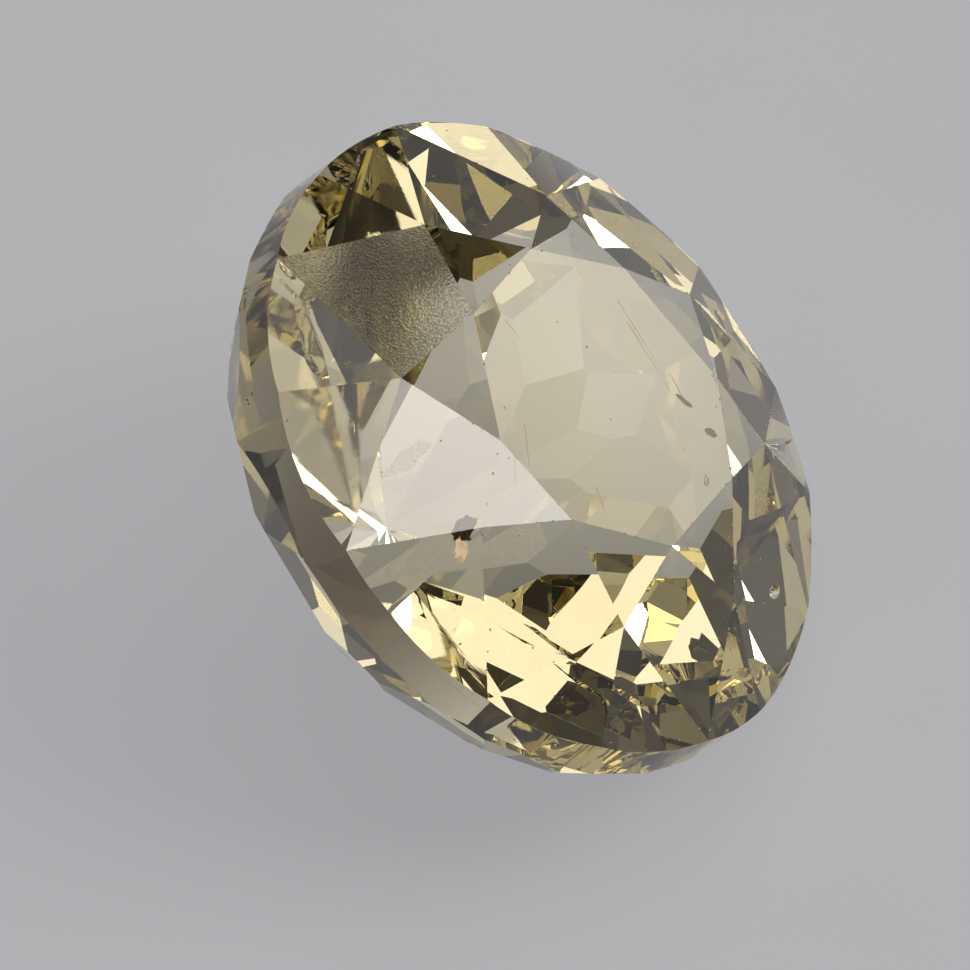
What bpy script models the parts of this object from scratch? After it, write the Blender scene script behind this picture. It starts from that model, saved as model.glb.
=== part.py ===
"""Cut diaspore: a round brilliant lying on one facet of its pavilion, one solid, +Z up, metres.

The stone is cut the way a real one is: a cylinder loses everything outside one facet plane after
another. Stone space has the girdle's axis on Z, the crown's edge at height 0 and the table above
it; azimuths are in degrees about that axis. The finished stone is then turned into its rest.
"""
import math

import bmesh
import bpy
from mathutils import Matrix, Vector

METRES_PER_MM = 0.001

# Overall sizes, mm
GIRDLE_RADIUS = 4.50
GIRDLE_HEIGHT = 0.62
TABLE_HEIGHT = 1.19
TABLE_CORNER_RADIUS = 2.155
CULET_DEPTH = 4.565
GIRDLE_SIDES = 144

# Crown: the eight table corners, the star tips between them and the kites' tips at the girdle
TABLE_AZIMUTHS = (211.7, 261.5, 298.7, 344.1, 32.3, 72.3, 123.4, 166.0)
STAR_AZIMUTHS = (236.9, 278.5, 323.8, 3.7, 54.6, 98.1, 145.4, 189.2)
STAR_RADII = (3.105, 3.03, 3.15, 3.105, 2.985, 2.97, 3.08, 3.17)
STAR_HEIGHTS = (0.84, 0.84, 0.84, 0.85, 0.87, 0.87, 0.87, 0.84)
KITE_AZIMUTHS = (211.0, 266.0, 300.5, 346.7, 32.0, 74.0, 121.0, 167.7)
SCALLOP_SHARE = 0.5  # how far the edge between two kites rises back towards the crown's edge

# Pavilion tiers: azimuth, slope and, for the tiers that miss the culet, the depth below the
# crown's edge at which the facet's plane would reach the girdle's radius
CULET_AZIMUTHS = (4.0, 44.0, 70.0, 98.0, 139.0, 188.0, 239.0, 284.0, 323.0)
CULET_SLOPE = 34.0
SECOND_TIER = (
    (55.0, 38.6, 1.135),
    (84.3, 39.3, 1.135),
    (117.4, 40.6, 1.03),
    (160.0, 39.5, 1.06),
    (211.0, 38.5, 1.04),
    (262.0, 38.5, 1.04),
    (304.0, 38.5, 1.04),
    (344.0, 38.5, 1.04),
)
THIRD_TIER = (
    (4.0, 47.0, 0.67),
    (44.0, 47.0, 0.59),
    (70.0, 47.0, 0.605),
    (103.0, 47.2, 0.58),
    (137.0, 47.0, 0.59),
    (182.0, 46.0, 0.77),
    (239.0, 46.0, 0.92),
    (284.0, 46.0, 0.92),
    (323.0, 46.0, 0.85),
)
GIRDLE_MAINS = (
    (33.0, 55.0),
    (55.0, 56.0),
    (84.3, 56.0),
    (117.4, 56.0),
    (160.0, 58.0),
    (211.0, 60.0),
    (268.0, 54.5),
    (301.0, 55.0),
    (346.0, 55.0),
)
MAIN_RADIUS = 4.5135
BREAK_AZIMUTHS = (33.0, 160.0, 211.0, 268.0, 301.0, 346.0)
BREAK_SLOPE = 61.0
BREAK_TURN = 12.0

# Rest: this facet of the second tier lies flat on the ground
REST_AZIMUTH = 33.0
REST_SLOPE = 38.5
REST_DEPTH = 1.115
HEADING = -7.7

ON_PLANE = 1e-4  # mm, corners this close to a cutting plane lie on it
HARD_EDGE = math.radians(4.0)


def corner(radius, azimuth, height):
    """A point at this radius and azimuth in stone space."""
    turn = math.radians(azimuth)
    return Vector((radius * math.cos(turn), radius * math.sin(turn), height))


def facet_at(azimuth, slope, radius, depth):
    """A pavilion facet's plane: it passes this radius at this depth below the crown's edge."""
    normal = Matrix.Rotation(math.radians(azimuth), 3, "Z") @ Vector(
        (math.sin(math.radians(slope)), 0.0, -math.cos(math.radians(slope)))
    )
    return corner(radius, azimuth, -depth), normal


def facet_through(first, second, third):
    """A crown facet's plane through three corners, facing up."""
    normal = (second - first).cross(third - first).normalized()
    return first, normal if normal.z > 0 else -normal


def height_on(facet, radius, azimuth):
    """The height at which a facet's plane meets this radius and azimuth."""
    point, normal = facet
    foot = corner(radius, azimuth, 0.0)
    return normal.dot(point - foot) / normal.z


def crown_facets():
    """The table, eight kites, eight stars and sixteen girdle facets."""
    table = [corner(TABLE_CORNER_RADIUS, azimuth, TABLE_HEIGHT) for azimuth in TABLE_AZIMUTHS]
    stars = [
        corner(radius, azimuth, height)
        for radius, azimuth, height in zip(STAR_RADII, STAR_AZIMUTHS, STAR_HEIGHTS)
    ]
    facets = [(Vector((0.0, 0.0, TABLE_HEIGHT)), Vector((0.0, 0.0, 1.0)))]
    tips = []
    for i, azimuth in enumerate(KITE_AZIMUTHS):
        kite = facet_through(table[i], stars[i - 1], stars[i])
        facets.append(kite)
        facets.append(facet_through(table[i], table[(i + 1) % 8], stars[i]))
        tips.append(corner(GIRDLE_RADIUS, azimuth, height_on(kite, GIRDLE_RADIUS, azimuth)))
    for i, star in enumerate(stars):
        before, after = tips[i], tips[(i + 1) % 8]
        height = SCALLOP_SHARE * (before.z + after.z) / 2.0
        between = corner(GIRDLE_RADIUS, STAR_AZIMUTHS[i], height)
        facets.append(facet_through(star, before, between))
        facets.append(facet_through(star, after, between))
    return facets


def pavilion_facets():
    """The rest facet and four tiers, from the mains that meet at the culet to the girdle's breaks."""
    facets = [facet_at(REST_AZIMUTH, REST_SLOPE, GIRDLE_RADIUS, REST_DEPTH)]
    for azimuth in CULET_AZIMUTHS:
        facets.append(facet_at(azimuth, CULET_SLOPE, 0.0, CULET_DEPTH))
    for azimuth, slope, depth in SECOND_TIER + THIRD_TIER:
        facets.append(facet_at(azimuth, slope, GIRDLE_RADIUS, depth))
    for azimuth, slope in GIRDLE_MAINS:
        facets.append(facet_at(azimuth, slope, MAIN_RADIUS, GIRDLE_HEIGHT))
    for azimuth in BREAK_AZIMUTHS:
        for turn in (-BREAK_TURN, BREAK_TURN):
            facets.append(facet_at(azimuth + turn, BREAK_SLOPE, GIRDLE_RADIUS, GIRDLE_HEIGHT))
    return facets


def cut(mesh, facet):
    """Takes away everything outside a facet's plane and closes the cut with one flat face."""
    point, normal = facet
    found = bmesh.ops.bisect_plane(
        mesh,
        geom=mesh.verts[:] + mesh.edges[:] + mesh.faces[:],
        dist=ON_PLANE,
        plane_co=point,
        plane_no=normal,
        clear_outer=True,
    )
    rim = [piece for piece in found["geom_cut"] if isinstance(piece, bmesh.types.BMEdge)]
    rim = [edge for edge in rim if len(edge.link_faces) == 1]
    if len(rim) > 2:
        bmesh.ops.contextual_create(mesh, geom=rim)


def rest_turn():
    """The turn from stone space to the pose in which the rest facet's outward normal is -Z."""
    return (
        Matrix.Rotation(math.radians(HEADING), 4, "Z")
        @ Matrix.Rotation(math.radians(REST_SLOPE), 4, "Y")
        @ Matrix.Rotation(math.radians(-REST_AZIMUTH), 4, "Z")
    )


def cut_stone():
    """The finished stone as a bmesh in metres, its footprint's centre on the origin."""
    mesh = bmesh.new()
    top, bottom = TABLE_HEIGHT + 0.2, -CULET_DEPTH - 0.2
    bmesh.ops.create_cone(
        mesh,
        cap_ends=True,
        segments=GIRDLE_SIDES,
        radius1=GIRDLE_RADIUS,
        radius2=GIRDLE_RADIUS,
        depth=top - bottom,
        matrix=Matrix.Translation((0.0, 0.0, (top + bottom) / 2.0)),
    )
    for facet in crown_facets() + pavilion_facets():
        cut(mesh, facet)
    bmesh.ops.remove_doubles(mesh, verts=mesh.verts[:], dist=10.0 * ON_PLANE)
    bmesh.ops.recalc_face_normals(mesh, faces=mesh.faces[:])
    mesh.transform(Matrix.Scale(METRES_PER_MM, 4) @ rest_turn())
    low = Vector([min(vert.co[axis] for vert in mesh.verts) for axis in range(3)])
    high = Vector([max(vert.co[axis] for vert in mesh.verts) for axis in range(3)])
    middle = (low + high) / 2.0
    mesh.transform(Matrix.Translation((-middle.x, -middle.y, -low.z)))
    for edge in mesh.edges:
        edge.smooth = edge.is_manifold and edge.calc_face_angle() < HARD_EDGE
    return mesh


def diaspore_material():
    """Clear, polished, pale olive-champagne crystal."""
    material = bpy.data.materials.new("polished_diaspore")
    material.use_nodes = True
    surface = material.node_tree.nodes["Principled BSDF"]
    surface.inputs["Base Color"].default_value = (0.78, 0.72, 0.50, 1.0)
    surface.inputs["Roughness"].default_value = 0.02
    surface.inputs["Metallic"].default_value = 0.0
    surface.inputs["IOR"].default_value = 1.72
    surface.inputs["Transmission Weight"].default_value = 1.0
    return material


def main():
    for old in list(bpy.data.objects):
        bpy.data.objects.remove(old, do_unlink=True)
    shape = bpy.data.meshes.new("diaspore_gem")
    mesh = cut_stone()
    mesh.to_mesh(shape)
    mesh.free()
    shape.materials.append(diaspore_material())
    stone = bpy.data.objects.new("diaspore_gem", shape)
    bpy.context.scene.collection.objects.link(stone)


main()
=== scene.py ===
"""A round cut diaspore lying on one facet of its pavilion, with inclusions, wear and a small studio."""

import math
import random

import bmesh
import bpy
from bpy.props import FloatProperty, FloatVectorProperty, IntProperty, PointerProperty
from mathutils import Matrix, Vector


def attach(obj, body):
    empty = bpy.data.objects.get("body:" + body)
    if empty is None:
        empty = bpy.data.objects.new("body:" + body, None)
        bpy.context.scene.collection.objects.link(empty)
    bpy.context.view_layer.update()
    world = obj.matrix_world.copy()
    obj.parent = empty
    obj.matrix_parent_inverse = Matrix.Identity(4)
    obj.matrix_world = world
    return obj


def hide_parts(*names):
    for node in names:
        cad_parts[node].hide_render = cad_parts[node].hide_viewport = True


bl_info = {
    "name": "Cut diaspore",
    "version": (1, 0, 0),
    "blender": (4, 5, 0),
    "location": "3D View > Sidebar > Diaspore",
    "description": "Builds a round cut diaspore with its inclusions and wear",
    "category": "Add Mesh",
}

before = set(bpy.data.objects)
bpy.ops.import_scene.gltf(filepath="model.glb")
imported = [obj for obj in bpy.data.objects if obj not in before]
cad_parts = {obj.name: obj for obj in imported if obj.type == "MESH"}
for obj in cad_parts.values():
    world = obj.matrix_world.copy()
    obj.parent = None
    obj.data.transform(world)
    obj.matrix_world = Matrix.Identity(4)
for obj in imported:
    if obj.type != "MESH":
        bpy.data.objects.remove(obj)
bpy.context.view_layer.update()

NODE = "diaspore_gem"
MM = 0.001

# Stone space: millimetres, the table's normal on Z, the crown's edge at height 0
LEAN = math.radians(38.5)
HEADING = math.radians(-7.7)
REST_AZIMUTH = math.radians(33.0)
CULET_DEPTH = 4.565
GIRDLE_RADIUS = 4.50

HARD_EDGE = math.radians(4.0)  # two faces that meet at more than this are two facets
CROWN_FACING = 0.5  # cosine to the table's normal above which a face belongs to the crown
BELOW_TOP = 0.12 * MM  # wear keeps this far below the stone's highest point

# The corners of the frosted kite: one table corner and the star tips beside it
FROSTED_KITE = ((2.155, 211.7, 1.19), (3.17, 189.2, 0.84), (3.105, 236.9, 0.84))

# Pavilion facets with painted shade in the light that passes through them: azimuth, slope and the share of
# light that they let pass
PAINTED_SHADE_FACETS = (
    (98.0, 34.0, 0.80),
    (70.0, 34.0, 0.86),
    (44.0, 34.0, 0.62),
    (33.0, 38.5, 0.55),
    (55.0, 38.6, 0.82),
    (84.3, 39.3, 0.96),
    (103.0, 47.2, 0.90),
    (139.0, 34.0, 0.93),
    (70.0, 47.0, 0.88),
)

# Painted shade on the girdle: share of light lost, middle azimuth and spread in degrees
GIRDLE_PAINTED_SHADES = ((0.52, 222.0, 32.0), (0.84, 272.0, 28.0))
LEAST_PASSING = 0.08

# Chips: place, half sizes of the broken-out bowl and its turn about the stone's axis in degrees
CHIPS = (
    ((3.37, 1.57, 0.36), (0.10, 0.24, 0.07), -10.0),
    ((0.65, 2.02, 1.20), (0.07, 0.05, 0.05), 20.0),
    ((1.65, 0.71, 1.20), (0.05, 0.11, 0.025), 35.0),
    ((4.30, -1.30, 0.20), (0.09, 0.05, 0.06), 60.0),
    ((4.47, -0.55, 0.12), (0.06, 0.09, 0.05), 0.0),
    ((-1.62, -4.20, 0.13), (0.07, 0.05, 0.05), -20.0),
    ((2.02, -4.02, 0.12), (0.08, 0.05, 0.05), 30.0),
)

# Needles inside the crystal: both ends
NEEDLES = (
    ((-1.54, -0.48, 0.74), (-1.20, -0.43, 0.70)),
    ((-0.89, 1.68, 0.47), (0.30, 1.60, 0.40)),
    ((-0.60, 1.62, 0.40), (0.62, 1.56, 0.30)),
    ((0.25, 1.61, 0.62), (0.75, 1.56, 0.55)),
    ((-0.30, -0.90, -0.20), (0.20, -1.25, -0.30)),
    ((0.90, -0.60, 0.10), (1.25, -0.85, 0.25)),
)

# Flat inclusions: centre, facing, long and short half width, kind
FLAKES = (
    ((0.33, -2.93, 0.44), (0.15, -0.60, 0.78), 0.22, 0.14, "iron_stained_flake"),
    ((0.50, -3.04, 0.30), (0.45, -0.30, 0.84), 0.21, 0.10, "cream_cleavage_flake"),
    ((1.19, 1.54, 0.74), (0.10, 0.10, 0.98), 0.13, 0.07, "iron_stained_flake"),
    ((0.66, 1.57, 0.54), (0.30, 0.20, 0.90), 0.20, 0.045, "iron_stained_flake"),
    ((-0.80, -2.98, 0.36), (0.10, -0.75, 0.65), 0.42, 0.13, "healed_feather"),
)


# Directions of the polishing lines, along and across them
LINES_ALONG = (0.707, -0.549, -0.446)
LINES_ACROSS = (0.707, 0.549, 0.446)

# Softboxes: name, direction from the stone, side in metres, radiance and colour
LAMP_DISTANCE = 0.9
LAMPS = (
    ("key_softbox", (0.69, -0.02, 0.72), 0.48, 5.6, "fbf6ee"),
    ("top_softbox", (0.02, 0.2, 0.98), 0.72, 1.3, "fdf7f6"),
    ("side_softbox", (0.81, 0.52, 0.26), 0.34, 2.4, "fff0c8"),
)

# Studio walls: pale low down and dark above, so that the crown shows the softboxes alone
WALL_LIGHT = (0.46, 0.455, 0.475, 1.0)
WALL_DARK = (0.025, 0.023, 0.02, 1.0)
WALL_FADE = (0.15, 0.38)


def linear(colour):
    """An sRGB hex colour as linear red, green, blue and alpha."""
    parts = [int(colour[i : i + 2], 16) / 255.0 for i in (0, 2, 4)]
    return (*[c / 12.92 if c <= 0.04045 else ((c + 0.055) / 1.055) ** 2.4 for c in parts], 1.0)


def polar(radius, azimuth, height):
    """A point in stone space."""
    turn = math.radians(azimuth)
    return Vector((radius * math.cos(turn), radius * math.sin(turn), height))


def azimuth_of(place):
    """The azimuth of a point in stone space, from 0 to 360 degrees."""
    return math.degrees(math.atan2(place.y, place.x)) % 360.0


def stone_to_row():
    """The matrix from stone space in millimetres to the row frame in metres."""
    turn = (
        Matrix.Rotation(HEADING, 4, "Z")
        @ Matrix.Rotation(LEAN, 4, "Y")
        @ Matrix.Rotation(-REST_AZIMUTH, 4, "Z")
    )
    up = turn.to_3x3() @ Vector((0.0, 0.0, 1.0))
    corners = [vertex.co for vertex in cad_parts[NODE].data.vertices]
    culet = min(corners, key=up.dot)
    return Matrix.Translation(culet + up * CULET_DEPTH * MM) @ turn @ Matrix.Scale(MM, 4)


def node(tree, kind, inputs=None, **settings):
    """Adds a node, sets its properties, and sets or links its inputs by name or number."""
    made = tree.nodes.new(kind)
    for name, value in settings.items():
        setattr(made, name, value)
    for name, value in (inputs or {}).items():
        if isinstance(value, bpy.types.NodeSocket):
            tree.links.new(value, made.inputs[name])
        else:
            made.inputs[name].default_value = value
    return made


def new_material(name):
    """A material with an empty node tree and its output node."""
    material = bpy.data.materials.new(name)
    material.use_nodes = True
    material.node_tree.nodes.clear()
    return material, material.node_tree, material.node_tree.nodes.new("ShaderNodeOutputMaterial")


def streaks(tree, place, along, across, length, width):
    """Noise drawn out along one direction, for lines left by polishing."""
    parts = []
    for direction, size in ((along, length), (across, width)):
        reach = node(tree, "ShaderNodeVectorMath", {0: place, 1: direction}, operation="DOT_PRODUCT")
        parts.append(product(tree, reach.outputs["Value"], 1.0 / (size * MM)))
    drawn = node(tree, "ShaderNodeCombineXYZ", {0: parts[0], 1: parts[1]}).outputs[0]
    return node(
        tree, "ShaderNodeTexNoise", {"Vector": drawn, "Scale": 1.0, "Detail": 3.0}
    ).outputs["Fac"]


def clouds(tree, place, size, detail, **more):
    """Soft noise with cells of this size in millimetres."""
    inputs = {"Vector": place, "Scale": 1.0 / (size * MM), "Detail": detail, **more}
    return node(tree, "ShaderNodeTexNoise", inputs).outputs["Fac"]


def ramp(tree, value, low, high, at_low=0.0, at_high=1.0):
    """Maps low to high on to the two values given, and holds them outside."""
    return node(
        tree, "ShaderNodeMapRange", {"Value": value, 1: low, 2: high, 3: at_low, 4: at_high}
    ).outputs[0]


def blend(tree, share, first, second):
    """Mixes two colours, each a socket or a linear colour."""
    return node(
        tree, "ShaderNodeMix", {0: share, 6: first, 7: second}, data_type="RGBA"
    ).outputs[2]


def product(tree, *factors):
    """Multiplies sockets or numbers."""
    result = factors[0]
    for factor in factors[1:]:
        result = node(tree, "ShaderNodeMath", {0: result, 1: factor}, operation="MULTIPLY").outputs[0]
    return result


def total(tree, *parts):
    """Adds sockets or numbers."""
    result = parts[0]
    for part in parts[1:]:
        result = node(tree, "ShaderNodeMath", {0: result, 1: part}, operation="ADD").outputs[0]
    return result


def diaspore_material(settings):
    """Diaspore crystal, cut and polished: clear, glassy, pale olive where the light's way is short and
    warm brown where it is long. One kite is only ground, so it looks frosted and pitted, and the
    facets beside it kept fine polishing lines."""
    material, tree, output = new_material("polished_diaspore_crystal")
    place = node(tree, "ShaderNodeTexCoord").outputs["Object"]
    frosted, lined, girdle, painted_shade = (
        node(tree, "ShaderNodeAttribute", attribute_name=name).outputs["Fac"]
        for name in ("frosted", "lined", "girdle", "painted_shade")
    )
    # Grinding grit of about 35 micrometres, and wear in patches of 0.8 mm
    grain = clouds(tree, place, 0.035, 2.0, Roughness=0.6)
    worn = ramp(tree, clouds(tree, place, 0.8, 1.0), 0.42, 0.62, 0.1)
    # Real polishing lines are a few micrometres apart: drawn at 20, so that they show
    lines = streaks(tree, place, LINES_ALONG, LINES_ACROSS, 0.9, 0.02)
    gloss = total(
        tree,
        product(tree, frosted, total(tree, worn, 1.0), 0.6, settings.frost_roughness),
        product(tree, lined, worn, 0.05),
    )
    depth = total(
        tree,
        product(tree, grain, frosted, 1.1),
        product(tree, lines, lined, worn, 0.07),
        product(tree, lines, girdle, 0.01),
    )
    relief = node(
        tree, "ShaderNodeBump", {"Height": depth, "Strength": 0.6, "Distance": 0.010 * MM}
    ).outputs["Normal"]
    ground = product(tree, ramp(tree, grain, 0.4, 0.6), frosted)
    clear = node(
        tree, "ShaderNodeMath", {0: 1.0, 1: product(tree, ground, 0.24)}, operation="SUBTRACT"
    ).outputs[0]
    frost = blend(tree, ground, linear("fcfbf7"), linear("a39c80"))
    # Painted shade: near-black for the pavilion facets and dark brown for the girdle, mixed into the
    # see-through tint where the corners carry it
    shade = blend(tree, girdle, linear("1c170d"), linear("40311c"))
    tint = blend(tree, painted_shade, frost, shade)
    surface = node(
        tree,
        "ShaderNodeBsdfPrincipled",
        {
            "Base Color": tint,
            "Roughness": gloss,
            "IOR": settings.refraction,
            "Transmission Weight": clear,
            "Normal": relief,
        },
    )
    absorbing = node(
        tree,
        "ShaderNodeVolumeAbsorption",
        {"Color": (*settings.passing_colour, 1.0), "Density": settings.absorption},
    )
    tree.links.new(surface.outputs["BSDF"], output.inputs["Surface"])
    tree.links.new(absorbing.outputs["Volume"], output.inputs["Volume"])
    return material


def mottled_material(name, first, second, cell, roughness, transmission=0.0, refraction=1.5, glow=0.0):
    """A small solid thing inside or on the stone: two colours in soft clouds of this size in mm."""
    material, tree, output = new_material(name)
    place = node(tree, "ShaderNodeTexCoord").outputs["Object"]
    mottle = clouds(tree, place, cell, 4.0, Roughness=0.6)
    tint = blend(tree, ramp(tree, mottle, 0.35, 0.65), linear(first), linear(second))
    rough = ramp(tree, mottle, 0.3, 0.7, roughness * 0.7, roughness)
    surface = node(
        tree,
        "ShaderNodeBsdfPrincipled",
        {
            "Base Color": tint,
            "Roughness": rough,
            "IOR": refraction,
            "Transmission Weight": transmission,
            # Painted light: a glow of the part's own colour, standing in for light gathered through the stone
            "Emission Color": tint,
            "Emission Strength": glow,
        },
    )
    tree.links.new(surface.outputs["BSDF"], output.inputs["Surface"])
    return material


def flake_material(kind):
    """The look of one kind of flat inclusion."""
    if kind == "iron_stained_flake":
        # Limonite film on a cleavage: a dull rust brown stain with darker clouds, and a faint painted glow
        return mottled_material(kind, "7a5c38", "3c2c1c", 0.06, 0.5, 0.0, 1.5, 0.12)
    if kind == "cream_cleavage_flake":
        # A small open cleavage that throws warm light back at the eye, brightened by a painted glow
        return mottled_material(kind, "f6ead0", "d8bf94", 0.08, 0.4, 0.3, 1.5, 0.45)
    # A healed crack of tiny voids: a thin milky veil
    return mottled_material(kind, "f8f3ee", "ddd3c8", 0.03, 0.3, 1.0, 1.03)


def facet_bmesh():
    """A copy of the CAD stone with its loose triangles merged back into whole facets."""
    mesh = bmesh.new()
    mesh.from_mesh(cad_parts[NODE].data)
    bmesh.ops.remove_doubles(mesh, verts=mesh.verts[:], dist=2e-4 * MM)
    bmesh.ops.dissolve_limit(
        mesh, angle_limit=math.radians(0.25), verts=mesh.verts[:], edges=mesh.edges[:]
    )
    bmesh.ops.dissolve_degenerate(mesh, dist=1e-4 * MM, edges=mesh.edges[:])
    bmesh.ops.recalc_face_normals(mesh, faces=mesh.faces[:])
    return mesh


def plane_through(corners):
    """The unit normal of three points in stone space, facing up."""
    first, second, third = corners
    normal = (second - first).cross(third - first).normalized()
    return normal if normal.z > 0 else -normal


def girdle_painted_shade(azimuth):
    """Painted shade on the girdle at this azimuth: darkest on its near left, clear at the foot."""
    lost = 0.0
    for share, middle, spread in GIRDLE_PAINTED_SHADES:
        lost += share * math.exp(-(((azimuth - middle) / spread) ** 2))
    return 1.0 - max(LEAST_PASSING, 1.0 - lost) ** 2


def facet_painted_shade(normal):
    """How much painted shade darkens the light through a pavilion facet, from its normal in stone space."""
    for azimuth, slope, passing in PAINTED_SHADE_FACETS:
        facing = polar(math.sin(math.radians(slope)), azimuth, -math.cos(math.radians(slope)))
        if facing.dot(normal) > 0.9998:
            return 1.0 - passing**2
    return 0.0


def mark_finishes_and_painted_shade(shape, to_row):
    """Writes how each facet was finished (frosted, lined or girdle) and the painted shade on the girdle and
    some pavilion facets.
    The painted shade is kept for each corner, so that it runs smoothly round the girdle."""
    to_stone = to_row.inverted()
    turn = to_stone.to_3x3().normalized()
    kite = plane_through([polar(*corner) for corner in FROSTED_KITE])
    marks = {name: [0.0] * len(shape.polygons) for name in ("frosted", "lined", "girdle")}
    painted_shade = [0.0] * len(shape.loops)
    for face in shape.polygons:
        normal = turn @ face.normal
        centre = to_stone @ face.center
        radius = math.hypot(centre.x, centre.y)
        if kite.dot(normal) > 0.9995:
            marks["frosted"][face.index] = 1.0
        elif radius > GIRDLE_RADIUS - 0.06 and abs(normal.z) < 0.02:
            marks["girdle"][face.index] = 1.0
            face.use_smooth = True
            for index in face.loop_indices:
                place = to_stone @ shape.vertices[shape.loops[index].vertex_index].co
                painted_shade[index] = girdle_painted_shade(azimuth_of(place))
        elif centre.z > 0.05 and radius > 3.3 and 175.0 < azimuth_of(centre) < 300.0:
            marks["lined"][face.index] = 1.0
        elif normal.z < -0.3:
            for index in face.loop_indices:
                painted_shade[index] = facet_painted_shade(normal)
    for name, values in marks.items():
        layer = shape.attributes.new(name, "FLOAT", "FACE")
        layer.data.foreach_set("value", values)
    shape.attributes.new("painted_shade", "FLOAT", "CORNER").data.foreach_set("value", painted_shade)


def chip_cutters():
    """One mesh in row space with the bowls that the chips are broken out to."""
    mesh = bmesh.new()
    to_row = stone_to_row()
    for place, half, turn in CHIPS:
        matrix = (
            to_row
            @ Matrix.Translation(place)
            @ Matrix.Rotation(math.radians(turn), 4, "Z")
            @ Matrix.Diagonal((*half, 1.0))
        )
        bmesh.ops.create_icosphere(mesh, subdivisions=3, radius=1.0, matrix=matrix)
    shape = bpy.data.meshes.new("chip_cutters")
    mesh.to_mesh(shape)
    mesh.free()
    return shape


def plain_mesh(piece):
    """Replaces an object's live modifiers by the mesh that they make."""
    graph = bpy.context.evaluated_depsgraph_get()
    shape = bpy.data.meshes.new_from_object(piece.evaluated_get(graph))
    shape.name = piece.name
    old = piece.data
    piece.modifiers.clear()
    piece.data = shape
    bpy.data.meshes.remove(old)


def new_tree(name, inputs):
    """A geometry node tree with named inputs: the tree, its input sockets and its output node."""
    tree = bpy.data.node_groups.new(name, "GeometryNodeTree")
    tree.interface.new_socket("Geometry", in_out="INPUT", socket_type="NodeSocketGeometry")
    for label, kind in inputs:
        tree.interface.new_socket(label, in_out="INPUT", socket_type="NodeSocket" + kind)
    tree.interface.new_socket("Geometry", in_out="OUTPUT", socket_type="NodeSocketGeometry")
    return tree, tree.nodes.new("NodeGroupInput").outputs, tree.nodes.new("NodeGroupOutput")


def close_tree(tree, geometry, material, result):
    """Ends a tree: instances made real, the material set."""
    real = node(tree, "GeometryNodeRealizeInstances", {"Geometry": geometry}).outputs[0]
    dressed = node(tree, "GeometryNodeSetMaterial", {"Geometry": real, "Material": material}).outputs[0]
    tree.links.new(dressed, result.inputs[0])
    return tree


def grow(name, shape, tree, values):
    """Runs a node tree on a mesh and returns the plain result as an object."""
    piece = bpy.data.objects.new(name, shape)
    bpy.context.scene.collection.objects.link(piece)
    modifier = piece.modifiers.new("grow", "NODES")
    modifier.node_group = tree
    for item in tree.interface.items_tree:
        if item.item_type == "SOCKET" and item.in_out == "INPUT" and item.name in values:
            modifier[item.identifier] = values[item.name]
    plain_mesh(piece)
    if piece.data.materials[0] is None:
        piece.data.materials.pop(index=0)
    return piece


def random_size(tree, inputs, seed_shift):
    """A random size between the tree's least and greatest size, many small and few large."""
    seed = total(tree, inputs["Seed"], float(seed_shift))
    draw = node(tree, "FunctionNodeRandomValue", {"Seed": seed}).outputs[1]
    drawn_low = node(tree, "ShaderNodeMath", {0: draw, 1: 2.5}, operation="POWER").outputs[0]
    return ramp(tree, drawn_low, 0.0, 1.0, inputs["Least size"], inputs["Greatest size"])


def speck_instances(tree, points, inputs, flatness, rotation=None):
    """Puts a small angular speck on every point, each with its own size and turn."""
    speck = node(tree, "GeometryNodeMeshIcoSphere", {"Radius": 1.0, "Subdivisions": 1}).outputs[0]
    squashed = node(
        tree, "GeometryNodeTransform", {"Geometry": speck, "Scale": (1.0, 0.62, flatness)}
    ).outputs[0]
    if rotation is None:
        rotation = node(
            tree,
            "FunctionNodeRandomValue",
            {0: (0.0, 0.0, 0.0), 1: (6.28, 6.28, 6.28), "Seed": total(tree, inputs["Seed"], 3.0)},
            data_type="FLOAT_VECTOR",
        ).outputs[0]
    return node(
        tree,
        "GeometryNodeInstanceOnPoints",
        {"Points": points, "Instance": squashed, "Rotation": rotation, "Scale": random_size(tree, inputs, 5)},
    ).outputs[0]


SPECK_INPUTS = (
    ("Seed", "Int"),
    ("Least size", "Float"),
    ("Greatest size", "Float"),
    ("Material", "Material"),
)


def needle_tree():
    """Turns every loose edge into a thin, slightly bent, tapered needle."""
    tree, inputs, result = new_tree(
        "needles", (("Width", "Float"), ("Bend", "Float"), ("Seed", "Int"), ("Material", "Material"))
    )
    curve = node(tree, "GeometryNodeMeshToCurve", {"Mesh": inputs["Geometry"]}).outputs[0]
    curve = node(tree, "GeometryNodeResampleCurve", {"Curve": curve, "Count": 14}).outputs[0]
    place = node(tree, "GeometryNodeInputPosition").outputs[0]
    wave = node(
        tree,
        "ShaderNodeTexNoise",
        {"Vector": place, "W": inputs["Seed"], "Scale": 1.0 / (0.5 * MM)},
        noise_dimensions="4D",
    ).outputs["Color"]
    centred = node(
        tree, "ShaderNodeVectorMath", {0: wave, 1: (0.5, 0.5, 0.5)}, operation="SUBTRACT"
    ).outputs[0]
    shift = node(
        tree, "ShaderNodeVectorMath", {0: centred, "Scale": inputs["Bend"]}, operation="SCALE"
    ).outputs[0]
    curve = node(tree, "GeometryNodeSetPosition", {"Geometry": curve, "Offset": shift}).outputs[0]
    along = node(tree, "GeometryNodeSplineParameter").outputs["Factor"]
    radius = product(tree, ramp(tree, along, 0.0, 1.0, 1.0, 0.25), inputs["Width"])
    ring = node(tree, "GeometryNodeCurvePrimitiveCircle", {"Resolution": 6, "Radius": 1.0}).outputs[0]
    rod = node(
        tree,
        "GeometryNodeCurveToMesh",
        {"Curve": curve, "Profile Curve": ring, "Scale": radius, "Fill Caps": True},
    ).outputs[0]
    return close_tree(tree, rod, inputs["Material"], result)


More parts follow.
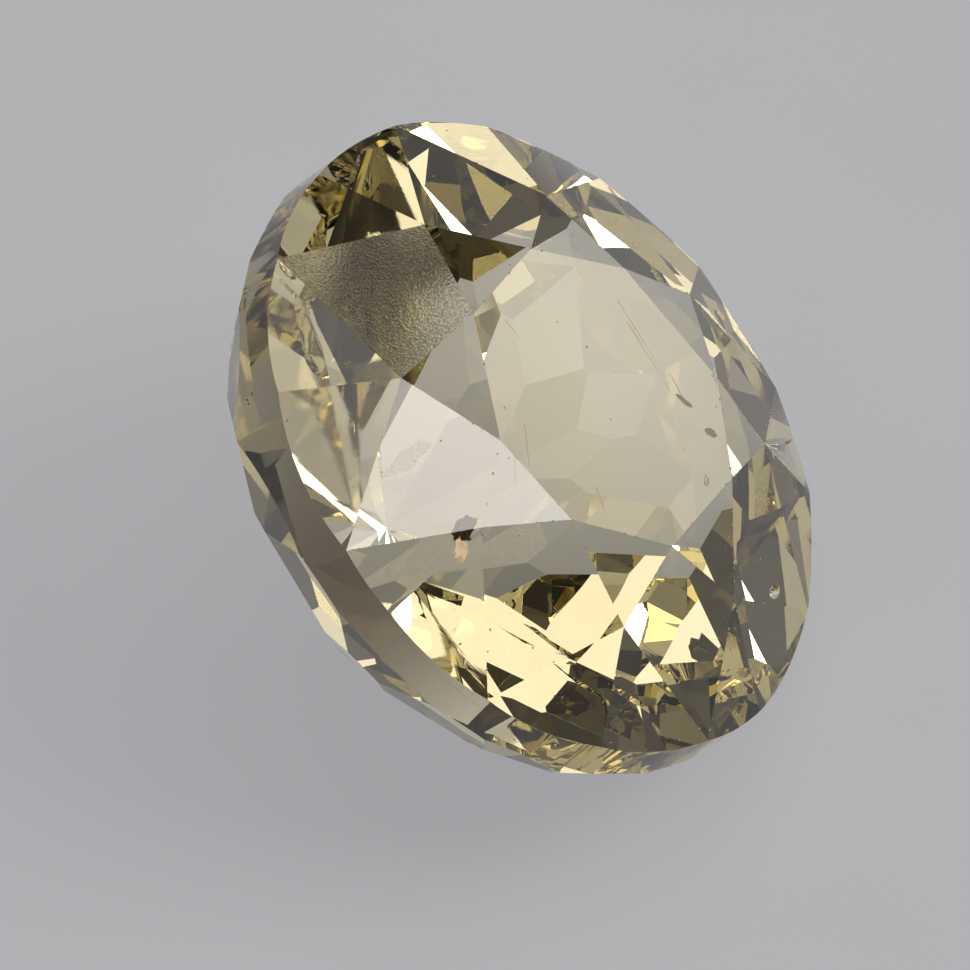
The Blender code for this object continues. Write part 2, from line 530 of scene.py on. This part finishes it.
def cloud_tree():
    """Scatters specks through a box around each of the mesh's vertices."""
    tree, inputs, result = new_tree(
        "pinpoint_cloud", (("Count", "Int"), ("Half box", "Vector")) + SPECK_INPUTS
    )
    low = node(
        tree, "ShaderNodeVectorMath", {0: inputs["Half box"], "Scale": -1.0}, operation="SCALE"
    ).outputs[0]
    copies = node(
        tree,
        "GeometryNodeDuplicateElements",
        {"Geometry": inputs["Geometry"], "Amount": inputs["Count"]},
        domain="POINT",
    ).outputs[0]
    draw = node(
        tree,
        "FunctionNodeRandomValue",
        {0: low, 1: inputs["Half box"], "Seed": inputs["Seed"]},
        data_type="FLOAT_VECTOR",
    ).outputs[0]
    spread = node(tree, "GeometryNodeSetPosition", {"Geometry": copies, "Offset": draw}).outputs[0]
    return close_tree(tree, speck_instances(tree, spread, inputs, 0.7), inputs["Material"], result)


def dust_tree():
    """Scatters specks over the mesh's faces, pressed flat on them."""
    tree, inputs, result = new_tree("settled_dust", (("Density", "Float"),) + SPECK_INPUTS)
    spread = node(
        tree,
        "GeometryNodeDistributePointsOnFaces",
        {"Mesh": inputs["Geometry"], "Density": inputs["Density"], "Seed": inputs["Seed"]},
    )
    specks = speck_instances(tree, spread.outputs["Points"], inputs, 0.55, spread.outputs["Rotation"])
    return close_tree(tree, specks, inputs["Material"], result)


def nick_tree():
    """Sets bruised specks along the mesh's edges, some close together and some far apart."""
    tree, inputs, result = new_tree("edge_nicks", (("Step", "Float"), ("Share", "Float")) + SPECK_INPUTS)
    curve = node(tree, "GeometryNodeMeshToCurve", {"Mesh": inputs["Geometry"]}).outputs[0]
    points = node(
        tree, "GeometryNodeCurveToPoints", {"Curve": curve, "Length": inputs["Step"]}, mode="LENGTH"
    ).outputs["Points"]
    groups = clouds(tree, node(tree, "GeometryNodeInputPosition").outputs[0], 0.9, 1.0)
    draw = node(tree, "FunctionNodeRandomValue", {"Seed": inputs["Seed"]}).outputs[1]
    thin = node(tree, "ShaderNodeMath", {0: groups, 1: 2.0}, operation="POWER").outputs[0]
    limit = product(tree, thin, inputs["Share"])
    drop = node(tree, "FunctionNodeCompare", {0: draw, 1: limit}, operation="GREATER_THAN").outputs[0]
    kept = node(
        tree, "GeometryNodeDeleteGeometry", {"Geometry": points, "Selection": drop}, domain="POINT"
    ).outputs[0]
    return close_tree(tree, speck_instances(tree, kept, inputs, 0.5), inputs["Material"], result)


def flat_inclusion(name, centre, facing, long_half, short_half, seed):
    """A thin plate with an irregular outline inside the crystal, slightly domed."""
    pick = random.Random(seed)
    mesh = bmesh.new()
    count = 18
    half_rim, half_middle, dome = 0.003, 0.006, 0.012
    rims = ([], [])
    for i in range(count):
        turn = 2.0 * math.pi * i / count
        reach = pick.uniform(0.72, 1.08)
        x = long_half * reach * math.cos(turn)
        y = short_half * reach * math.sin(turn)
        for rim, side in zip(rims, (-1.0, 1.0)):
            rim.append(mesh.verts.new((x, y, half_rim * side)))
    for rim, side in zip(rims, (-1.0, 1.0)):
        top = mesh.verts.new((0.0, 0.0, dome + half_middle * side))
        for i in range(count):
            ends = (rim[i], rim[(i + 1) % count], top)
            mesh.faces.new(ends if side > 0 else ends[::-1])
    for i in range(count):
        after = (i + 1) % count
        mesh.faces.new((rims[0][i], rims[0][after], rims[1][after], rims[1][i]))
    bmesh.ops.recalc_face_normals(mesh, faces=mesh.faces[:])
    aim = Vector(facing).normalized().to_track_quat("Z", "X").to_matrix().to_4x4()
    mesh.transform(stone_to_row() @ Matrix.Translation(centre) @ aim)
    shape = bpy.data.meshes.new(name)
    mesh.to_mesh(shape)
    mesh.free()
    return shape


def hand_over(piece):
    """Ties a finished piece of the stone to its body."""
    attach(piece, "root")


class StoneSettings(bpy.types.PropertyGroup):
    edge_width: FloatProperty(
        name="Edge width", description="Width of the worn edge between two facets",
        default=0.010 * MM, min=0.0, precision=6, unit="LENGTH",
    )
    refraction: FloatProperty(
        name="Refractive index", description="Mean refractive index of diaspore", default=1.72, min=1.0,
    )
    absorption: FloatProperty(
        name="Absorption", description="Density of the absorbing crystal, per metre", default=100.0, min=0.0,
    )
    passing_colour: FloatVectorProperty(
        name="Passing colour", description="Light that the crystal lets through", subtype="COLOR",
        default=(0.95, 0.87, 0.47), min=0.0, max=1.0,
    )
    frost_roughness: FloatProperty(
        name="Frost", description="Roughness of the kite that was left ground", default=0.09,
        min=0.0, max=1.0, subtype="FACTOR",
    )


class InclusionSettings(bpy.types.PropertyGroup):
    seed: IntProperty(name="Seed", description="Random order of the inclusions", default=7, min=0)
    needle_width: FloatProperty(
        name="Needle width", description="Radius of a needle at its thick end",
        default=0.009 * MM, min=0.0, precision=6, unit="LENGTH",
    )
    pinpoints: IntProperty(name="Pinpoints", description="Pinpoints in each cloud", default=22, min=0)


class WearSettings(bpy.types.PropertyGroup):
    seed: IntProperty(name="Seed", description="Random order of nicks and dust", default=3, min=0)
    nick_share: FloatProperty(
        name="Nicks", description="Share of places along the facet edges that are bruised",
        default=0.75, min=0.0,
    )
    dust: FloatProperty(
        name="Dust", description="Specks of dust for each square millimetre of the crown",
        default=2.4, min=0.0,
    )


class StageSettings(bpy.types.PropertyGroup):
    floor_colour: FloatVectorProperty(
        name="Floor", description="Colour of the floor", subtype="COLOR",
        default=linear("6f7074")[:3], min=0.0, max=1.0,
    )
    floor_glow: FloatProperty(
        name="Floor glow", description="Light that the opal floor gives off by itself",
        default=0.365, min=0.0,
    )
    # Painted light: a brighter pool of glow on the floor under the stone, in place of light gathered through
    # the stone
    painted_pool_centre: FloatVectorProperty(
        name="Pool centre", description="Where the stone gathers light on the floor under itself",
        default=(-0.9 * MM, 2.5 * MM, 0.0), precision=5, unit="LENGTH",
    )
    painted_pool_radius: FloatProperty(
        name="Pool radius", description="Radius of the gathered light",
        default=2.9 * MM, precision=5, unit="LENGTH",
    )
    painted_pool_gain: FloatProperty(
        name="Pool gain", description="How much brighter than the floor the gathered light is",
        default=0.30, min=0.0,
    )
    camera_height: FloatProperty(
        name="Camera height", description="Angle of the camera above the horizon",
        default=math.radians(50.9), subtype="ANGLE",
    )
    camera_distance: FloatProperty(
        name="Camera distance", description="Distance from the camera to the stone",
        default=0.25, unit="LENGTH",
    )
    picture_width: FloatProperty(
        name="Picture width", description="Width that the picture covers at the stone",
        default=12.5 * MM, precision=5, unit="LENGTH",
    )


class DIASPORE_OT_stone(bpy.types.Operator):
    """Builds the cut stone from the CAD solid, with worn facet edges"""

    bl_idname = "diaspore.stone"
    bl_label = "Cut stone"

    def execute(self, context):
        settings = context.scene.diaspore_stone
        to_row = stone_to_row()
        mesh = facet_bmesh()
        sharp = [
            edge
            for edge in mesh.edges
            if edge.is_manifold and edge.calc_face_angle() > HARD_EDGE
        ]
        bmesh.ops.bevel(
            mesh,
            geom=sharp,
            offset=settings.edge_width,
            offset_type="WIDTH",
            segments=1,
            profile=0.5,
            affect="EDGES",
            clamp_overlap=True,
        )
        shape = bpy.data.meshes.new("stone_before_chips")
        mesh.to_mesh(shape)
        mesh.free()
        stone = bpy.data.objects.new("cut_stone", shape)
        bowls = bpy.data.objects.new("chip_cutters", chip_cutters())
        for piece in (stone, bowls):
            context.scene.collection.objects.link(piece)
        chipping = stone.modifiers.new("chips", "BOOLEAN")
        chipping.operation = "DIFFERENCE"
        chipping.solver = "EXACT"
        chipping.object = bowls
        plain_mesh(stone)
        bpy.data.objects.remove(bowls, do_unlink=True)
        mark_finishes_and_painted_shade(stone.data, to_row)
        stone.data.materials.append(diaspore_material(settings))
        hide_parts(NODE)
        hand_over(stone)
        return {"FINISHED"}


class DIASPORE_OT_inclusions(bpy.types.Operator):
    """Grows needles, pinpoints and flat inclusions inside the stone"""

    bl_idname = "diaspore.inclusions"
    bl_label = "Inclusions"

    def execute(self, context):
        settings = context.scene.diaspore_inclusions
        to_row = stone_to_row()
        lines = bpy.data.meshes.new("needle_lines")
        ends = [to_row @ Vector(end) for needle in NEEDLES for end in needle]
        lines.from_pydata(ends, [(2 * i, 2 * i + 1) for i in range(len(NEEDLES))], [])
        # Fine fibres of another mineral: pale, silky, darker where iron stained them
        fibre = mottled_material("silky_fibre_mineral", "f3ead6", "9a7446", 0.25, 0.2, 1.0, 1.06)
        needles = grow(
            "needles",
            lines,
            needle_tree(),
            {"Width": settings.needle_width, "Bend": 0.05 * MM, "Seed": settings.seed, "Material": fibre},
        )
        centres = bpy.data.meshes.new("cloud_centres")
        centres.from_pydata([to_row @ Vector((0.1, -0.5, -0.9)), to_row @ Vector((1.4, 0.9, -0.2))], [], [])
        # Tiny grains that show as pale points, helped by a painted glow
        grain = mottled_material("pale_mineral_grain", "f2ede0", "a8977a", 0.02, 0.5, 0.0, 1.5, 0.35)
        pinpoints = grow(
            "pinpoints",
            centres,
            cloud_tree(),
            {
                "Count": settings.pinpoints,
                "Half box": (1.1 * MM, 1.1 * MM, 0.5 * MM),
                "Seed": settings.seed,
                "Least size": 0.004 * MM,
                "Greatest size": 0.014 * MM,
                "Material": grain,
            },
        )
        kinds = {}
        for i, (centre, facing, long_half, short_half, kind) in enumerate(FLAKES):
            shape = flat_inclusion(kind, centre, facing, long_half, short_half, settings.seed + i)
            if kind not in kinds:
                kinds[kind] = flake_material(kind)
            shape.materials.append(kinds[kind])
            flake = bpy.data.objects.new(kind + "_%d" % (i + 1), shape)
            context.scene.collection.objects.link(flake)
            hand_over(flake)
        for piece in (needles, pinpoints):
            hand_over(piece)
        return {"FINISHED"}


class DIASPORE_OT_wear(bpy.types.Operator):
    """Bruises the facet edges and settles dust on the crown"""

    bl_idname = "diaspore.wear"
    bl_label = "Nicks and dust"

    def execute(self, context):
        settings = context.scene.diaspore_wear
        up = stone_to_row().to_3x3().normalized() @ Vector((0.0, 0.0, 1.0))
        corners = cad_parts[NODE].data.vertices
        high = max(vertex.co.z for vertex in corners) - BELOW_TOP
        edges = facet_bmesh()
        kept = {
            edge
            for edge in edges.edges
            if edge.is_manifold
            and edge.calc_face_angle() > HARD_EDGE
            and min(face.normal.dot(up) for face in edge.link_faces) > CROWN_FACING
            and max(vertex.co.z for vertex in edge.verts) < high
        }
        bmesh.ops.delete(edges, geom=[edge for edge in edges.edges if edge not in kept], context="EDGES")
        bmesh.ops.delete(edges, geom=[vert for vert in edges.verts if not vert.link_edges], context="VERTS")
        lines = bpy.data.meshes.new("edge_lines")
        edges.to_mesh(lines)
        edges.free()
        # Crushed crystal at an edge: white, rough, scattering
        bruise = mottled_material("bruised_edge_crystal", "f7f5f2", "cfc9bf", 0.02, 0.45, 0.35)
        nicks = grow(
            "edge_nicks",
            lines,
            nick_tree(),
            {
                "Step": 0.045 * MM,
                "Share": settings.nick_share,
                "Seed": settings.seed,
                "Least size": 0.004 * MM,
                "Greatest size": 0.026 * MM,
                "Material": bruise,
            },
        )
        crown = facet_bmesh()
        others = [
            face
            for face in crown.faces
            if face.normal.dot(up) < CROWN_FACING or max(vertex.co.z for vertex in face.verts) > high
        ]
        bmesh.ops.delete(crown, geom=others, context="FACES")
        field = bpy.data.meshes.new("dust_field")
        crown.to_mesh(field)
        crown.free()
        # Household dust: skin and lint grains, off-white to grey, dull
        lint = mottled_material("dry_dust_grain", "dcd8cf", "8f8b84", 0.01, 0.9)
        dust = grow(
            "settled_dust",
            field,
            dust_tree(),
            {
                "Density": settings.dust / MM**2,
                "Seed": settings.seed,
                "Least size": 0.004 * MM,
                "Greatest size": 0.026 * MM,
                "Material": lint,
            },
        )
        for piece in (nicks, dust):
            hand_over(piece)
        return {"FINISHED"}


class DIASPORE_OT_stage(bpy.types.Operator):
    """Builds the floor, the lights and the camera"""

    bl_idname = "diaspore.stage"
    bl_label = "Stage"

    def execute(self, context):
        settings = context.scene.diaspore_stage
        scene = context.scene
        mesh = bmesh.new()
        bmesh.ops.create_circle(mesh, cap_ends=True, segments=96, radius=0.8)
        mesh.transform(Matrix.Translation((0.0, 0.0, -0.01 * MM)))
        shape = bpy.data.meshes.new("floor")
        mesh.to_mesh(shape)
        mesh.free()
        # Opal acrylic lit from below: matt, cool grey-white, with a painted pool of light under the stone
        # where the stone would gather light
        material, tree, output = new_material("opal_acrylic_sheet")
        place = node(tree, "ShaderNodeTexCoord").outputs["Object"]
        away = node(
            tree,
            "ShaderNodeVectorMath",
            {0: place, 1: tuple(settings.painted_pool_centre)},
            operation="DISTANCE",
        ).outputs["Value"]
        painted_pool = node(
            tree, "ShaderNodeMapRange", {"Value": away, 2: settings.painted_pool_radius, 3: 1.0, 4: 0.0},
            interpolation_type="SMOOTHSTEP",
        ).outputs[0]
        shade = ramp(tree, clouds(tree, place, 6.0, 2.0), 0.0, 1.0, 0.97, 1.03)
        brighter = total(tree, product(tree, painted_pool, settings.painted_pool_gain), 1.0)
        glow = product(tree, brighter, shade, settings.floor_glow)
        board = node(
            tree,
            "ShaderNodeBsdfPrincipled",
            {
                "Base Color": (*settings.floor_colour, 1.0),
                "Roughness": 0.8,
                "Specular IOR Level": 0.2,
                "Emission Color": linear("fafaff"),
                "Emission Strength": glow,
            },
        )
        tree.links.new(board.outputs["BSDF"], output.inputs["Surface"])
        shape.materials.append(material)
        floor = bpy.data.objects.new("floor", shape)
        scene.collection.objects.link(floor)
        self.light_world(scene)
        for lamp in LAMPS:
            self.add_lamp(scene, *lamp)
        self.add_camera(scene, settings)
        scene.view_settings.view_transform = "Standard"
        scene.cycles.caustics_reflective = False
        scene.cycles.caustics_refractive = False
        scene.cycles.max_bounces = 14
        scene.cycles.glossy_bounces = 12
        scene.cycles.transmission_bounces = 12
        return {"FINISHED"}

    def light_world(self, scene):
        """The studio walls' own light."""
        world = bpy.data.worlds.new("studio")
        world.use_nodes = True
        tree = world.node_tree
        tree.nodes.clear()
        way = node(tree, "ShaderNodeTexCoord").outputs["Generated"]
        height = node(tree, "ShaderNodeSeparateXYZ", {"Vector": way}).outputs["Z"]
        fade = node(tree, "ShaderNodeValToRGB", {"Fac": height})
        for stop, position, colour in zip(fade.color_ramp.elements, WALL_FADE, (WALL_LIGHT, WALL_DARK)):
            stop.position = position
            stop.color = colour
        sky = node(tree, "ShaderNodeBackground", {"Color": fade.outputs["Color"], "Strength": 1.0})
        output = node(tree, "ShaderNodeOutputWorld")
        tree.links.new(sky.outputs["Background"], output.inputs["Surface"])
        scene.world = world

    def add_lamp(self, scene, name, direction, size, radiance, colour):
        """A square softbox that faces the stone; a square lamp of this power has this radiance."""
        way = Vector(direction).normalized()
        data = bpy.data.lights.new(name, "AREA")
        data.shape = "SQUARE"
        data.size = size
        data.energy = radiance * math.pi * size * size
        data.color = linear(colour)[:3]
        lamp = bpy.data.objects.new(name, data)
        lamp.location = way * LAMP_DISTANCE
        lamp.rotation_euler = way.to_track_quat("Z", "Y").to_euler()
        scene.collection.objects.link(lamp)

    def add_camera(self, scene, settings):
        """The camera at the photo's angle, aimed so that the stone sits as it does there."""
        height = settings.camera_height
        back = Vector((0.0, -math.cos(height), math.sin(height)))
        up = Vector((0.0, math.sin(height), math.cos(height)))
        centre = stone_to_row() @ Vector((0.0, 0.0, 0.0))
        aim = centre + Vector((-0.786, 0.0, 0.0)) * MM - up * 0.625 * MM
        data = bpy.data.cameras.new("camera")
        data.sensor_width = 36.0
        data.lens = data.sensor_width * settings.camera_distance / settings.picture_width
        data.clip_start = 0.01
        data.clip_end = 10.0
        camera = bpy.data.objects.new("camera", data)
        camera.location = aim + back * settings.camera_distance
        camera.rotation_euler = back.to_track_quat("Z", "Y").to_euler()
        scene.collection.objects.link(camera)
        scene.camera = camera


class DIASPORE_PT_panel(bpy.types.Panel):
    bl_label = "Cut diaspore"
    bl_idname = "DIASPORE_PT_panel"
    bl_space_type = "VIEW_3D"
    bl_region_type = "UI"
    bl_category = "Diaspore"

    def draw(self, context):
        layout = self.layout
        for settings, operator in (
            (context.scene.diaspore_stone, "diaspore.stone"),
            (context.scene.diaspore_inclusions, "diaspore.inclusions"),
            (context.scene.diaspore_wear, "diaspore.wear"),
            (context.scene.diaspore_stage, "diaspore.stage"),
        ):
            box = layout.box()
            for name in settings.__annotations__:
                box.prop(settings, name)
            box.operator(operator)


CLASSES = (
    StoneSettings,
    InclusionSettings,
    WearSettings,
    StageSettings,
    DIASPORE_OT_stone,
    DIASPORE_OT_inclusions,
    DIASPORE_OT_wear,
    DIASPORE_OT_stage,
    DIASPORE_PT_panel,
)


def register():
    for one in CLASSES:
        bpy.utils.register_class(one)
    bpy.types.Scene.diaspore_stone = PointerProperty(type=StoneSettings)
    bpy.types.Scene.diaspore_inclusions = PointerProperty(type=InclusionSettings)
    bpy.types.Scene.diaspore_wear = PointerProperty(type=WearSettings)
    bpy.types.Scene.diaspore_stage = PointerProperty(type=StageSettings)


def unregister():
    del bpy.types.Scene.diaspore_stage
    del bpy.types.Scene.diaspore_wear
    del bpy.types.Scene.diaspore_inclusions
    del bpy.types.Scene.diaspore_stone
    for one in reversed(CLASSES):
        bpy.utils.unregister_class(one)


def clear_startup():
    """Removes the startup scene's own objects."""
    for name in ("Cube", "Light", "Camera"):
        old = bpy.data.objects.get(name)
        if old is not None:
            bpy.data.objects.remove(old, do_unlink=True)


def main():
    register()
    clear_startup()
    bpy.ops.diaspore.stone()
    bpy.ops.diaspore.inclusions()
    bpy.ops.diaspore.wear()
    bpy.ops.diaspore.stage()


if __name__ == "__main__":
    main()
